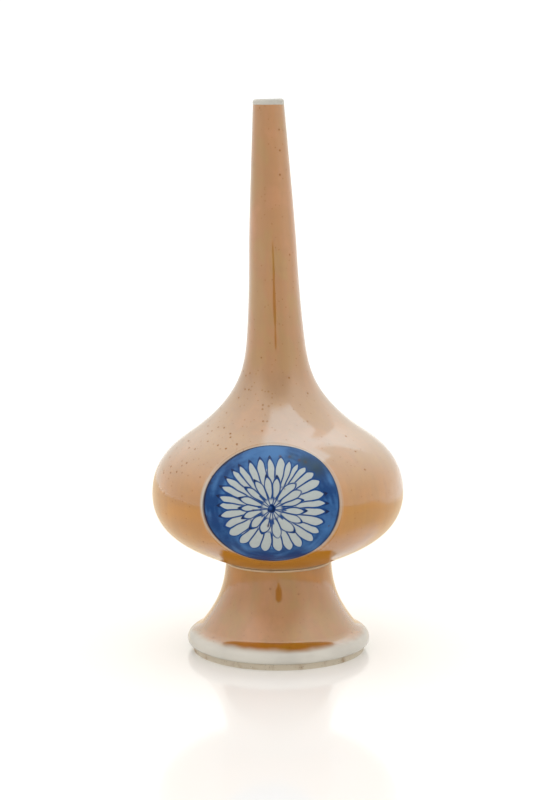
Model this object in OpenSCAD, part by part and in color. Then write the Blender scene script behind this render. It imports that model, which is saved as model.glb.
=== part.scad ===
// Rosewater sprinkler in brown-glazed porcelain with a blue painted flower panel.
// It is thrown in four sections that are joined with slip, then glazed outside and inside.
// Millimetres, +Z up, origin on the floor under the middle of the foot, flower panel facing -Y.

/* [Foot] */
// Height from the floor to the flat base of the bulb
foot_h = 33.2; // [29:0.2:40]
// Outer radius of the bare clay ring that it stands on
foot_ring_r = 31.4; // [29:0.1:35]
// Height of the bare clay ring
foot_ring_h = 2.2; // [1.6:0.1:3]
// Width of the bare ring, measured along the floor
foot_ring_w = 4.2; // [3.2:0.1:6]
// Bevel on the inner edge of the bare ring
foot_bevel = 0.6; // [0.3:0.1:1.2]
// How far the rolled bead stands out beyond the bare ring
bead_out = 2.0; // [1:0.1:3]
// Height from the bare ring to the widest line of the bead
bead_rise = 1.7; // [1.3:0.1:2.4]
// Height of the white glazed band above the bare ring
rim_band = 4.6; // [3:0.1:6.5]
// How far the flare draws in, from the bead to where its curve turns
flare_in = 5.4; // [4:0.1:7]
// Height from the bead's widest line to where the flare's curve turns
flare_rise = 5.8; // [5:0.1:7]
// Radius of the waist, right under the bulb
waist_r = 19.3; // [18:0.1:22]
// Thickness of the foot's wall at the waist
foot_wall = 3.4; // [2.6:0.1:4.4]

/* [Bulb] */
// Radius of the bulb's base, where its underside starts
base_r = 19.08; // [17.8:0.02:19.2]
// Height from the base to the belly
low_rise = 25.1; // [21:0.1:30]
// Radius of the belly, the widest part
belly_r = 45.7; // [41:0.1:50]
// Height from the belly to where the shoulder's curve turns
shoulder_rise = 26.4; // [23:0.1:31]
// Radius where the shoulder's curve turns
shoulder_r = 26.1; // [23:0.1:29]
// Height from the turn of the shoulder to the foot of the neck
neck_base_rise = 25.3; // [22:0.1:29]
// Thickness of the bulb's wall
bulb_wall = 3.2; // [2.4:0.1:4]
// Thickness of the bulb's floor
bulb_floor = 4.0; // [3.4:0.1:7]

/* [Neck] */
// Radius at the foot of the neck
neck_base_r = 11.0; // [10:0.1:12.5]
// Height from the foot of the neck to the top of the lip
neck_h = 90; // [78:0.5:105]
// Height from the foot of the neck to its slight swelling
neck_mid_rise = 36; // [28:0.5:42]
// Radius at the slight swelling
neck_mid_r = 8.58; // [8:0.02:9.4]
// Radius of the lip
lip_r = 5.6; // [5.3:0.05:6.4]
// Rounding of the lip's outer edge
lip_round = 1.1; // [0.8:0.05:1.3]
// Rounding of the lip's inner edge
lip_inner_round = 0.7; // [0.5:0.05:0.8]
// Height of the white glazed band at the lip
lip_band = 2.2; // [1.8:0.1:4]
// Radius of the mouth's bore
mouth_r = 3.1; // [2.6:0.05:3.2]
// Depth of the straight bore below the lip
mouth_depth = 12; // [8:0.5:20]

/* [Leans] */
// Degrees that the bulb leans towards -X on its foot
bulb_lean = 0.74; // [0:0.02:2]
// Degrees that the neck leans towards -X beyond the bulb
neck_lean = 1.0; // [0:0.05:2]

/* [Glaze and slip] */
// Thickness of the glaze outside
glaze_t = 0.3; // [0.2:0.05:0.4]
// Thickness of the glaze inside
lining_t = 0.25; // [0.15:0.05:0.4]
// Thickness of the slip between the foot and the bulb
foot_slip_t = 0.6; // [0.4:0.1:1.2]
// How far that slip stands proud of the waist
foot_slip_out = 0.15; // [0:0.05:0.4]
// Thickness of the slip at the belly
belly_slip_t = 0.4; // [0.3:0.05:0.8]
// Thickness of the slip at the foot of the neck
neck_slip_t = 0.6; // [0.5:0.1:1]
// Height above the floor at which the glaze inside the foot starts
foot_lining_z = 3; // [2:0.5:8]

/* [Flower panel] */
// Degrees that the front panel is turned towards -X
panel_turn = 2.8; // [0:0.2:10]
// Height of the panel's centre above the belly
panel_rise = 3.3; // [0:0.1:4]
// Compass opening of the blue ground, from the panel's centre on the glaze to its rim
panel_reach = 24.3; // [21:0.1:26]
// Width of the bare white margin round the blue ground
panel_margin = 1.1; // [0.7:0.1:1.6]
// Width of the dark line round the blue ground
line_w = 0.7; // [0.4:0.1:1.2]
// Thickness of the blue painting in the panel's glaze
paint_t = 0.15; // [0.08:0.01:0.18]
// Distance from the flower's centre to the tips of its outer petals
flower_r = 19.8; // [17:0.1:20.4]
// Distance from the flower's centre to the tips of its inner petals
heart_r = 11.8; // [10:0.1:13]
// Radius of the blue dot in the flower's heart
dot_r = 1.6; // [1.2:0.1:2.2]
// Number of outer petals
outer_petals = 31; // [24:1:36]
// Number of inner petals
inner_petals = 16; // [11:1:18]

/* [Hidden] */

// Heights above the floor, before anything leans
foot_top = foot_h - foot_slip_t;
belly_z = foot_h + low_rise;
shoulder_z = belly_z + shoulder_rise;
neck_z = shoulder_z + neck_base_rise;
lip_z = neck_z + neck_h;
floor_z = foot_h + bulb_floor;
panel_z = belly_z + panel_rise;

// Headings of the outline in degrees from level, going up the outside
groove_heading = 11;
flare_heading = 127;
waist_heading = 93;
base_heading = 23.6;
shoulder_heading = 139.7;
neck_base_heading = 99.4;
neck_mid_heading = 91.4;
lip_heading = 92.6;
bore_heading = -87.4; // going down the inside, under the straight bore

// Colours of clay, slip, glazes and painting
clay = [0.80, 0.76, 0.68];
slip = [0.74, 0.66, 0.54];
brown = [0.73, 0.54, 0.37];
white = [0.86, 0.86, 0.83];
blue = [0.16, 0.33, 0.58];
dark_blue = [0.07, 0.09, 0.24];

panels = 2; // one at the front and one opposite
steps = 10; // straight pieces in each curve of the outline
lip_steps = 6; // straight pieces in each rounding of the lip
petal_steps = 6; // straight pieces along each side of a petal
past = 0.06; // how far a curve runs on past a cut, as a share of its parameter
big = belly_r + lip_z; // reaches past the part on every side
$fn = 96;

// Points, headings and curves

function unit(a) = [cos(a), sin(a)];
function inward(p) = [-p.y, p.x] / norm(p);

// A curve between two points, each with its heading and a handle that is a share of the distance
function curve(a, heading_a, share_a, b, heading_b, share_b) =
  let(d = norm(b - a))
  [a, a + d * share_a * unit(heading_a), b - d * share_b * unit(heading_b), b];

function at(c, t) =
  pow(1 - t, 3) * c[0] + 3 * pow(1 - t, 2) * t * c[1] + 3 * (1 - t) * t * t * c[2] + t * t * t * c[3];
function slope(c, t) =
  pow(1 - t, 2) * (c[1] - c[0]) + 2 * (1 - t) * t * (c[2] - c[1]) + t * t * (c[3] - c[2]);

// Points along a curve, moved in from its surface by a depth
function run(c, depth, from = 0, to = 1, first = 0) =
  [for (i = [first:steps]) let(t = from + (to - from) * i / steps) at(c, t) + depth * inward(slope(c, t))];

// Where a curve that rises all the way is at a height
function share_at(c, z, low = 0, high = 1, left = 24) =
  let(mid = (low + high) / 2)
  left == 0 ? mid :
  at(c, mid).y < z ? share_at(c, z, mid, high, left - 1) : share_at(c, z, low, mid, left - 1);

// A point moved along its heading to a height
function to_height(p, heading, z) = p + (z - p.y) / sin(heading) * unit(heading);

function reversed(list) = [for (i = [len(list) - 1:-1:0]) list[i]];
function arc(centre, r, from, to) =
  [for (i = [0:lip_steps]) centre + r * unit(from + (to - from) * i / lip_steps)];

// Outline of the foot, from the groove above the bare ring to the waist

bead_r = foot_ring_r + bead_out;
bead_z = foot_ring_h + bead_rise;
groove = [foot_ring_r + glaze_t, foot_ring_h];
bead = [bead_r, bead_z];
flare = [bead_r - flare_in, bead_z + flare_rise];
waist = [waist_r, foot_top];
bead_curve = curve(groove, groove_heading, 0.4, bead, 90, 0.45);
rim_curve = curve(bead, 90, 0.43, flare, flare_heading, 0.43);
flare_curve = curve(flare, flare_heading, 0.335, waist, waist_heading, 0.445);
rim_end = share_at(rim_curve, foot_ring_h + rim_band);

function rim_line(depth) = concat(run(bead_curve, depth), run(rim_curve, depth, 0, rim_end, 1));
function foot_line(depth) =
  concat(run(rim_curve, depth, rim_end, 1), run(flare_curve, depth, 0, 1 + past, 1));

// Hollow of the foot
ring_in_r = foot_ring_r - foot_ring_w;
waist_in_r = waist_r - glaze_t - foot_wall;
hollow_curve = curve([ring_in_r, 0], 100, 0.25, [waist_in_r, foot_top], 91, 0.45);
function hollow(depth) =
  concat([[0, -1]], [[at(hollow_curve, 0).x - depth, -1]], run(hollow_curve, depth, 0, 1 + past), [
    [0, at(hollow_curve, 1 + past).y]]);

// Outline of the bulb, from its base to the foot of the neck
base = [base_r, foot_h];
belly = [belly_r, belly_z];
shoulder = [shoulder_r, shoulder_z];
neck_base = [neck_base_r, neck_z];
low_curve = curve(base, base_heading, 0.312, belly, 90, 0.425);
high_curve = curve(belly, 90, 0.48, shoulder, shoulder_heading, 0.275);
throat_curve = curve(shoulder, shoulder_heading, 0.527, neck_base, neck_base_heading, 0.255);

function bulb_line(depth) = concat(
  [to_height(run(low_curve, depth)[0], base_heading, foot_h)],
  run(low_curve, depth),
  run(high_curve, depth, 0, 1, 1),
  run(throat_curve, depth, 0, 1, 1),
  [to_height(run(throat_curve, depth)[steps], neck_base_heading, neck_z)]);
function no_repeats(list) =
  [for (i = [0:len(list) - 1]) if (i == 0 || norm(list[i] - list[i - 1]) > 0.001) list[i]];
function bulb_region(depth) = no_repeats(concat([[0, foot_h]], bulb_line(depth), [[0, neck_z]]));

// Outline of the neck: up the outside, over the lip and down the inside
wall_in = glaze_t + bulb_wall;
neck_in_r = to_height(run(throat_curve, wall_in + lining_t)[steps], neck_base_heading, neck_z).x;
neck_mid = [neck_mid_r, neck_z + neck_mid_rise];
lip_foot = [lip_r, lip_z - lip_band];
mouth_foot = [mouth_r, lip_z - mouth_depth];
lower_neck = curve(neck_base, neck_base_heading, 0.161, neck_mid, neck_mid_heading, 0.375);
upper_neck = curve(neck_mid, neck_mid_heading, 0.19, lip_foot, lip_heading, 0.06);
bore_curve =
  curve(mouth_foot, bore_heading, 0.25, [neck_in_r, neck_z], neck_base_heading - 180, 0.15);

function neck_line(depth) =
  concat(run(lower_neck, depth, -past, 1), run(upper_neck, depth, 0, 1, 1));
function lip_line(depth, inner_depth) = concat(
  [run(upper_neck, depth)[steps]],
  arc([lip_r - lip_round, lip_z - lip_round], lip_round - depth, 0, 90),
  [for (a = [0:lip_steps])
    let(turn = 90 + 90 * a / lip_steps)
    [mouth_r + lip_inner_round, lip_z - lip_inner_round] +
    [(lip_inner_round - inner_depth) * cos(turn), (lip_inner_round - depth) * sin(turn)]]);
function bore_line(depth) = concat(
  [[mouth_r + depth, lip_z - lip_inner_round]],
  run(bore_curve, depth, 0, 1 + past));

// Rings and walls from outlines

// The skin between an outline and the same outline moved in
module skin(line, inner) {
  rotate_extrude() polygon(concat(line, reversed(inner)));
}

module ring(r_in, r_out, z, h) {
  translate([0, 0, z]) difference() {
    cylinder(r = r_out, h = h);
    translate([0, 0, -h]) cylinder(r = r_in, h = 3 * h);
  }
}

module bulb_cavity(depth) {
  intersection() {
    polygon(bulb_region(wall_in + depth));
    translate([0, floor_z + depth]) square([big, big]);
  }
}

module bulb_skin(from_depth, to_depth) {
  rotate_extrude() difference() {
    polygon(bulb_region(from_depth));
    polygon(bulb_region(to_depth));
  }
}

module bulb_wall_ring(z, h) {
  rotate_extrude() intersection() {
    difference() {
      polygon(bulb_region(glaze_t));
      bulb_cavity(0);
    }
    translate([0, z]) square([big, h]);
  }
}

module neck_wall() {
  on_neck() rotate_extrude() polygon(concat(
    neck_line(glaze_t), lip_line(glaze_t, lining_t), bore_line(lining_t)));
}

// The leaning frames, and the level cuts between sections

module on_bulb() {
  translate([0, 0, foot_h]) rotate([0, -bulb_lean, 0]) translate([0, 0, -foot_h]) children();
}

module on_neck() {
  on_bulb() translate([0, 0, neck_z]) rotate([0, -neck_lean, 0]) translate([0, 0, -neck_z]) children();
}

module bulb_slab(z, h) {
  on_bulb() translate([-big, -big, z]) cube([2 * big, 2 * big, h]);
}

module up_to(z) {
  difference() {
    children();
    bulb_slab(z, big);
  }
}

module from_height(z) {
  difference() {
    children();
    bulb_slab(z - big, big);
  }
}

// Flower panel, side 0 at the front

module on_panel(side) {
  on_bulb() rotate([0, 0, side * 360 / panels - panel_turn]) children();
}

module reach(r) {
  translate([0, -belly_r, panel_z]) sphere(r = r);
}

// How a compass opening on the belly shows from straight in front, across and up
function seen_share(opening, round_r) = sqrt(1 - pow(opening / (2 * round_r), 2));
side_share = seen_share(flower_r, belly_r);
belly_round = 22; // radius of the belly's outline near the panel
up_share = seen_share(flower_r, belly_round);

// A pointed petal about a direction, widest past its middle
function petal_side(r_from, r_to, half_angle, direction, side) =
  [for (i = [1:petal_steps - 1])
    let(s = i / petal_steps, a = direction + side * half_angle * sin(180 * pow(s, 1.2)))
    (r_from + (r_to - r_from) * s) * unit(a)];

module petal(r_from, r_to, half_angle, direction) {
  polygon(concat(
    [r_from * unit(direction)],
    petal_side(r_from, r_to, half_angle, direction, 1),
    [r_to * unit(direction)],
    reversed(petal_side(r_from, r_to, half_angle, direction, -1))));
}

module petal_ring(count, r_from, r_to, turn) {
  for (i = [0:count - 1])
    petal(r_from, r_to, 0.43 * 360 / count, turn + 360 * i / count);
}

module flower() {
  translate([0, 0, panel_z]) rotate([90, 0, 0]) linear_extrude(height = belly_r + glaze_t) {
    petal_ring(outer_petals, heart_r + 0.2, flower_r * 0.92, 90);
    petal_ring(inner_petals, dot_r + 0.4, heart_r - 0.3, 90);
  }
}

module ground(side) {
  on_panel(side) difference() {
    intersection() {
      bulb_skin(0, paint_t);
      reach(panel_reach - line_w);
    }
    flower();
  }
}

module outline(side) {
  on_panel(side) difference() {
    intersection() {
      bulb_skin(0, paint_t);
      reach(panel_reach);
    }
    reach(panel_reach - line_w);
  }
}

module panel(side) {
  on_panel(side) difference() {
    intersection() {
      bulb_skin(0, glaze_t);
      reach(panel_reach + panel_margin);
    }
    difference() {
      intersection() {
        bulb_skin(-glaze_t, paint_t);
        reach(panel_reach);
      }
      flower();
    }
  }
}

// The brown coat leaves each panel open
module panel_windows() {
  for (side = [0:panels - 1]) on_panel(side) reach(panel_reach + panel_margin);
}

module bulb_coat(z, h) {
  difference() {
    on_bulb() intersection() {
      bulb_skin(0, glaze_t);
      translate([-big, -big, z]) cube([2 * big, 2 * big, h]);
    }
    panel_windows();
  }
}

// Sub-parts

module foot() {
  color(clay) up_to(foot_top) rotate_extrude() difference() {
    polygon(concat(
      [[0, 0], [foot_ring_r, 0], [foot_ring_r, foot_ring_h]],
      rim_line(glaze_t), foot_line(glaze_t), [[0, at(flare_curve, 1 + past).y]]));
    polygon(hollow(0));
    polygon([[0, -1], [ring_in_r + foot_bevel + 1, -1], [ring_in_r - 1, foot_bevel + 1], [0, foot_bevel + 1]]);
  }
}

module lower_bowl() {
  color(clay) on_bulb() bulb_wall_ring(foot_h - 1, low_rise + 1 - belly_slip_t / 2);
}

module upper_bowl() {
  color(clay) on_bulb() bulb_wall_ring(belly_z + belly_slip_t / 2, big);
}

module neck() {
  color(clay) from_height(neck_z + neck_slip_t) neck_wall();
}

module foot_slip() {
  color(slip) on_bulb() ring(waist_in_r, waist_r + foot_slip_out, foot_top, foot_slip_t);
}

module belly_slip() {
  color(slip) on_bulb() bulb_wall_ring(belly_z - belly_slip_t / 2, belly_slip_t);
}

module neck_slip() {
  color(slip) from_height(neck_z) up_to(neck_z + neck_slip_t) neck_wall();
}

module foot_lining() {
  color(white) up_to(foot_h) rotate_extrude() difference() {
    polygon(hollow(0));
    polygon(hollow(lining_t));
    translate([0, -1]) square([foot_ring_r, foot_lining_z + 1]);
  }
}

module bulb_lining() {
  color(white) on_bulb() rotate_extrude() difference() {
    bulb_cavity(0);
    bulb_cavity(lining_t);
  }
}

module neck_lining() {
  color(white) from_height(neck_z) on_neck() skin(bore_line(0), bore_line(lining_t));
}

module rim_glaze() {
  color(white) skin(rim_line(0), rim_line(glaze_t));
}

module foot_glaze() {
  color(brown) up_to(foot_top) skin(foot_line(0), foot_line(glaze_t));
}

module lower_bowl_glaze() {
  color(brown) bulb_coat(foot_h - 1, low_rise + 1);
}

module upper_bowl_glaze() {
  color(brown) bulb_coat(belly_z, big);
}

module neck_glaze() {
  color(brown) from_height(neck_z) on_neck() skin(neck_line(0), neck_line(glaze_t));
}

module lip_glaze() {
  color(white) on_neck() skin(lip_line(0, 0), lip_line(glaze_t, lining_t));
}

module front_panel() { color(white) panel(0); }
module front_ground() { color(blue) ground(0); }
module front_outline() { color(dark_blue) outline(0); }
module back_panel() { color(white) panel(1); }
module back_ground() { color(blue) ground(1); }
module back_outline() { color(dark_blue) outline(1); }

foot();
lower_bowl();
upper_bowl();
neck();
foot_slip();
belly_slip();
neck_slip();
foot_lining();
bulb_lining();
neck_lining();
rim_glaze();
foot_glaze();
lower_bowl_glaze();
upper_bowl_glaze();
neck_glaze();
lip_glaze();
front_panel();
front_ground();
front_outline();
back_panel();
back_ground();
back_outline();
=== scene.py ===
"""Finished surfaces of a brown-glazed porcelain rosewater sprinkler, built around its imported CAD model."""

import math

import bpy
import numpy as np
from bpy.props import FloatProperty, FloatVectorProperty, IntProperty, PointerProperty
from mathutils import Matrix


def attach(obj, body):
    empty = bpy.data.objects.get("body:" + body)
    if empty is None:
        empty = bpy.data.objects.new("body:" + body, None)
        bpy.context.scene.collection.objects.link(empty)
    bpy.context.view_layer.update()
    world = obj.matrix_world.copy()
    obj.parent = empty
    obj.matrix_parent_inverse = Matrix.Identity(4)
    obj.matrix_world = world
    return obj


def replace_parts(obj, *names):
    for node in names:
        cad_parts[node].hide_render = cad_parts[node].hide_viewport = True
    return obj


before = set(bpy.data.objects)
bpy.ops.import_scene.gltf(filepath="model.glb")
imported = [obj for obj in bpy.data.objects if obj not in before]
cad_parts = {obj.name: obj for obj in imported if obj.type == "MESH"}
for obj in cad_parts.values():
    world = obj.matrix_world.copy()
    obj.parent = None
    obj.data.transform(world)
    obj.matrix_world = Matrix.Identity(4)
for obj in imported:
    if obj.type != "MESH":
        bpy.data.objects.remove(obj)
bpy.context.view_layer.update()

bl_info = {
    "name": "Rosewater Sprinkler",
    "version": (1, 0, 0),
    "blender": (4, 5, 0),
    "location": "3D View > Sidebar > Sprinkler",
    "description": "Builds the glazes, slip and painted flower panels of a porcelain rosewater sprinkler",
    "category": "Add Mesh",
}

ROOT = "root"
MM = 0.001


# Settings

def length(name, description, default):
    """A size in metres, with its name and description."""
    return FloatProperty(name=name, description=description, default=default, min=0.0, unit="LENGTH", precision=5)


def heading(name, description, default):
    """A direction of the outline in degrees from level, going up the outside."""
    return FloatProperty(name=name, description=description, default=default)


def share(name, description, default):
    """The handle of a curve as a share of the distance between its ends."""
    return FloatProperty(name=name, description=description, default=default, min=0.01, max=1.0)


def colour(name, description, default):
    """A colour of clay, glaze or paint, as light returned."""
    return FloatVectorProperty(
        name=name, description=description, default=default, size=3, subtype="COLOR", min=0.0, max=1.0)


class SprinklerFootSizes(bpy.types.PropertyGroup):
    """Sizes of the foot."""

    height: length("Height", "Floor to the flat base of the bulb", 0.0332)
    ring_r: length("Ring radius", "Outer radius of the bare clay ring", 0.0314)
    ring_h: length("Ring height", "Height of the bare clay ring", 0.0022)
    ring_w: length("Ring width", "Width of the bare ring along the floor", 0.0042)
    bevel: length("Ring bevel", "Bevel on the inner edge of the bare ring", 0.0006)
    bead_out: length("Bead overhang", "How far the bead stands out beyond the ring", 0.002)
    bead_rise: length("Bead rise", "Bare ring to the widest line of the bead", 0.0017)
    white_band: length("White band", "Height of the white glaze above the bare ring", 0.0046)
    flare_in: length("Flare inset", "How far the flare draws in to where its curve turns", 0.0054)
    flare_rise: length("Flare rise", "Bead's widest line to where the flare's curve turns", 0.0058)
    waist_r: length("Waist radius", "Radius right under the bulb", 0.0193)
    wall: length("Wall", "Thickness of the foot's wall at the waist", 0.0034)
    slip_h: length("Slip height", "Thickness of the slip between foot and bulb", 0.0006)
    slip_out: length("Slip overhang", "How far that slip stands proud of the waist", 0.00015)


class SprinklerBulbSizes(bpy.types.PropertyGroup):
    """Sizes of the bulb and the neck."""

    base_r: length("Base radius", "Radius where the underside of the bulb starts", 0.01908)
    low_rise: length("Belly rise", "Base to the belly", 0.0251)
    belly_r: length("Belly radius", "Radius of the widest part", 0.0457)
    shoulder_rise: length("Shoulder rise", "Belly to where the shoulder's curve turns", 0.0264)
    shoulder_r: length("Shoulder radius", "Radius where the shoulder's curve turns", 0.0261)
    throat_rise: length("Throat rise", "Turn of the shoulder to the foot of the neck", 0.0253)
    neck_base_r: length("Neck base radius", "Radius at the foot of the neck", 0.011)
    neck_h: length("Neck height", "Foot of the neck to the top of the lip", 0.09)
    neck_mid_rise: length("Swelling rise", "Foot of the neck to its slight swelling", 0.036)
    neck_mid_r: length("Swelling radius", "Radius at the slight swelling", 0.00858)
    lip_r: length("Lip radius", "Radius of the lip", 0.0056)
    lip_round: length("Lip rounding", "Rounding of the lip's outer edge", 0.0011)
    lip_inner_round: length("Inner rounding", "Rounding of the lip's inner edge", 0.0007)
    lip_band: length("White band", "Height of the white glaze at the lip", 0.0022)
    mouth_r: length("Mouth radius", "Radius of the mouth's bore", 0.0031)
    glaze_t: length("Glaze", "Thickness of the glaze outside", 0.0003)
    bulb_lean: FloatProperty(name="Bulb lean", description="Degrees towards -X", default=0.74)
    neck_lean: FloatProperty(name="Neck lean", description="Degrees beyond the bulb's lean", default=1.0)
    lean_blend: length("Lean blend", "Half the height over which the neck's lean sets in", 0.008)


class SprinklerPanelSizes(bpy.types.PropertyGroup):
    """Sizes of the painted flower panels."""

    turn: FloatProperty(name="Turn", description="Degrees that the panels are turned towards -X", default=2.8)
    rise: length("Rise", "Height of the panel's centre above the belly", 0.0033)
    reach: length("Reach", "Compass opening from the centre to the panel's edge", 0.0254)
    cells: IntProperty(name="Cells", description="Cells across a panel's painted face", default=320, min=20)
    back_cells: IntProperty(name="Back cells", description="Cells across its hidden face", default=32, min=4)


class SprinklerColours(bpy.types.PropertyGroup):
    """Colours of the clay, the glazes and the paints."""

    brown: colour("Brown glaze", "Coffee-brown glaze", (0.345, 0.135, 0.016))
    # Painted reflection: the warmer brown of the belly stands in for warm floor light reflected there; a darker copy
    # also tints the throwing rings
    warm_reflection_and_rings: colour("Amber", "Where the brown glaze pools", (0.395, 0.155, 0.014))
    pinhole: colour("Pinholes", "Iron-brown pinholes in the brown glaze", (0.20, 0.068, 0.008))
    # Painted reflection: the dark amber crescent under the bulb, standing in for the foot and the shaded floor
    # behind it seen in the glaze
    pool: colour("Pool", "Thick glaze that ran down under the bulb", (0.395, 0.162, 0.016))
    ochre: colour("Ochre", "Brown glaze with a cloud of yellower glaze", (0.315, 0.150, 0.014))
    blush: colour("Blush", "Brown glaze with a pinker cloud", (0.395, 0.148, 0.030))
    shoulder: colour("Thin glaze", "Brown glaze where it runs thin on the shoulder", (0.285, 0.130, 0.032))
    white: colour("White glaze", "Grey-white glaze of bead and lip", (0.575, 0.553, 0.500))
    petal: colour("Petals", "White glaze between the painted lines", (0.385, 0.422, 0.420))
    wash_pale: colour("Pale wash", "Thin cobalt wash", (0.044, 0.145, 0.345))
    wash_deep: colour("Deep wash", "Thick cobalt wash", (0.003, 0.040, 0.150))
    line: colour("Painted line", "Cobalt line of the petals", (0.003, 0.040, 0.165))
    tip: colour("Dark tip", "Where a line pools at a petal's point", (0.002, 0.012, 0.055))
    slate: colour("Slate", "Burnt patch of the wash", (0.020, 0.047, 0.072))
    rim_line: colour("Rim line", "Near-black line round the panel", (0.006, 0.008, 0.035))
    rust: colour("Rust", "Iron specks in the paint and on the chips", (0.06, 0.025, 0.010))
    clay: colour("Bare clay", "Fired clay of the ring", (0.54, 0.475, 0.375))
    slip: colour("Slip", "Pale slip at the waist", (0.50, 0.36, 0.22))


class SprinklerStageSettings(bpy.types.PropertyGroup):
    """Floor, light and camera."""

    tent: FloatProperty(name="Light tent", description="Brightness of the tent's sides in the glaze", default=1.2)
    front: FloatProperty(name="Front", description="Brightness of its front in the glaze", default=1.0)
    top: FloatProperty(name="Top", description="Brightness of its top in the glaze", default=2.1)
    softbox: FloatProperty(name="Softbox", description="Brightness of the light above it", default=3.3)
    fill: FloatProperty(name="Fill", description="Brightness of the tent's soft light", default=1.12)
    low_fill: FloatProperty(name="Low fill", description="How much brighter it is near the floor", default=0.3)
    far_floor: colour("Far floor", "Dim warm floor beyond the sweep, in the glaze", (1.0, 0.72, 0.44))
    far_level: FloatProperty(name="Far floor level", description="Its brightness", default=1.25)
    near_floor: colour("Near floor", "Warm floor round the foot, in the glaze", (1.0, 0.835, 0.61))
    near_level: FloatProperty(name="Near floor level", description="Its brightness", default=1.0)
    shaded_floor: colour("Shaded floor", "Floor right behind the foot, in the glaze", (0.33, 0.14, 0.04))
    warm_light: colour("Warm light", "Colour of the tent in the glaze", (1.0, 0.97, 0.89))
    cool_light: colour("Cool light", "Colour of the softbox in the glaze", (0.86, 0.97, 1.0))
    gap: colour("Gap", "Dark gap of the tent in front", (0.03, 0.025, 0.02))
    floor: colour("Floor", "White floor", (0.95, 0.95, 0.94))
    camera_distance: length("Camera distance", "From the pot's axis", 0.72)
    camera_height: length("Camera height", "Above the floor", 0.2)
    camera_pitch: FloatProperty(name="Camera pitch", description="Degrees down", default=8.53)
    camera_side: length("Camera offset", "How far the camera stands towards -X", 0.0017)
    lens: FloatProperty(name="Lens", description="Focal length for a 36 mm sensor", default=90.45)


FOOT = SprinklerFootSizes
BULB = SprinklerBulbSizes


# Outline

def unit(degrees):
    return np.array([math.cos(math.radians(degrees)), math.sin(math.radians(degrees))])


def curve(start, start_heading, start_share, end, end_heading, end_share):
    """A cubic curve between two points, each with its heading and its handle's share of the distance."""
    start, end = np.array(start), np.array(end)
    apart = np.linalg.norm(end - start)
    return np.array([
        start,
        start + apart * start_share * unit(start_heading),
        end - apart * end_share * unit(end_heading),
        end,
    ])


def along(points, t):
    """Points and outward normals of a curve at the parameters t."""
    t = np.asarray(t, float)[:, None]
    a, b, c, d = points
    place = (1 - t) ** 3 * a + 3 * (1 - t) ** 2 * t * b + 3 * (1 - t) * t * t * c + t ** 3 * d
    slope = (1 - t) ** 2 * (b - a) + 2 * (1 - t) * t * (c - b) + t * t * (d - c)
    slope /= np.linalg.norm(slope, axis=1)[:, None]
    return place, np.stack([slope[:, 1], -slope[:, 0]], 1)


def chain(curves, counts):
    """Points and normals along several curves that follow each other."""
    places, normals = [], []
    for i, (points, count) in enumerate(zip(curves, counts)):
        t = np.linspace(0, 1, count + 1)
        p, n = along(points, t if i == 0 else t[1:])
        places.append(p)
        normals.append(n)
    return np.vstack(places), np.vstack(normals)


def foot_curves(foot, glaze_t):
    """The foot's glazed outline: bead, upper bead and flare."""
    groove = (foot.ring_r + glaze_t, foot.ring_h)
    bead = (foot.ring_r + foot.bead_out, foot.ring_h + foot.bead_rise)
    flare = (bead[0] - foot.flare_in, bead[1] + foot.flare_rise)
    waist = (foot.waist_r, foot.height - foot.slip_h)
    return [
        curve(groove, 11, 0.4, bead, 90, 0.45),
        curve(bead, 90, 0.43, flare, 127, 0.43),
        curve(flare, 127, 0.335, waist, 93, 0.445),
    ]


def bulb_curves(foot, bulb):
    """The bulb's glazed outline: underside, shoulder and throat."""
    base = (bulb.base_r, foot.height)
    belly = (bulb.belly_r, foot.height + bulb.low_rise)
    shoulder = (bulb.shoulder_r, belly[1] + bulb.shoulder_rise)
    neck_base = (bulb.neck_base_r, shoulder[1] + bulb.throat_rise)
    return [
        curve(base, 23.6, 0.312, belly, 90, 0.425),
        curve(belly, 90, 0.48, shoulder, 139.7, 0.275),
        curve(shoulder, 139.7, 0.527, neck_base, 99.4, 0.255),
    ]


def neck_curves(foot, bulb):
    """The neck's glazed outline up to the white band."""
    neck_z = neck_foot(foot, bulb)
    middle = (bulb.neck_mid_r, neck_z + bulb.neck_mid_rise)
    band = (bulb.lip_r, neck_z + bulb.neck_h - bulb.lip_band)
    return [
        curve((bulb.neck_base_r, neck_z), 99.4, 0.161, middle, 91.4, 0.375),
        curve(middle, 91.4, 0.19, band, 92.6, 0.06),
    ]


def neck_foot(foot, bulb):
    """Height of the foot of the neck above the floor, before the bulb leans."""
    return foot.height + bulb.low_rise + bulb.shoulder_rise + bulb.throat_rise


def arc(centre, radius, from_degrees, to_degrees, count):
    """Points and normals on an arc."""
    angles = np.radians(np.linspace(from_degrees, to_degrees, count + 1))
    normals = np.stack([np.cos(angles), np.sin(angles)], 1)
    return np.array(centre) + radius * normals, normals


# The leaning frames

def lean(points, normals, foot, bulb):
    """Leans the bulb on its foot, and the neck a little further."""
    turn = math.radians(bulb.neck_lean)
    above = points[:, 2] - neck_foot(foot, bulb)
    blend = bulb.lean_blend
    risen = np.where(above > blend, above, np.where(above < -blend, 0, (above + blend) ** 2 / (4 * blend)))
    angle = turn * np.clip((above + blend) / (2 * blend), 0, 1)
    axis_x = -math.sin(turn) * risen
    axis_z = points[:, 2] - (1 - math.cos(turn)) * risen
    points = np.stack([axis_x + points[:, 0] * np.cos(angle), points[:, 1],
                       axis_z + points[:, 0] * np.sin(angle)], 1)
    normals = np.stack([normals[:, 0] * np.cos(angle) - normals[:, 2] * np.sin(angle), normals[:, 1],
                        normals[:, 0] * np.sin(angle) + normals[:, 2] * np.cos(angle)], 1)
    tilt = math.radians(bulb.bulb_lean)
    turned = np.array([[math.cos(tilt), 0, -math.sin(tilt)], [0, 1, 0], [math.sin(tilt), 0, math.cos(tilt)]])
    pivot = np.array([0, 0, foot.height])
    return (points - pivot) @ turned.T + pivot, normals @ turned.T


# Meshes

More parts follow.
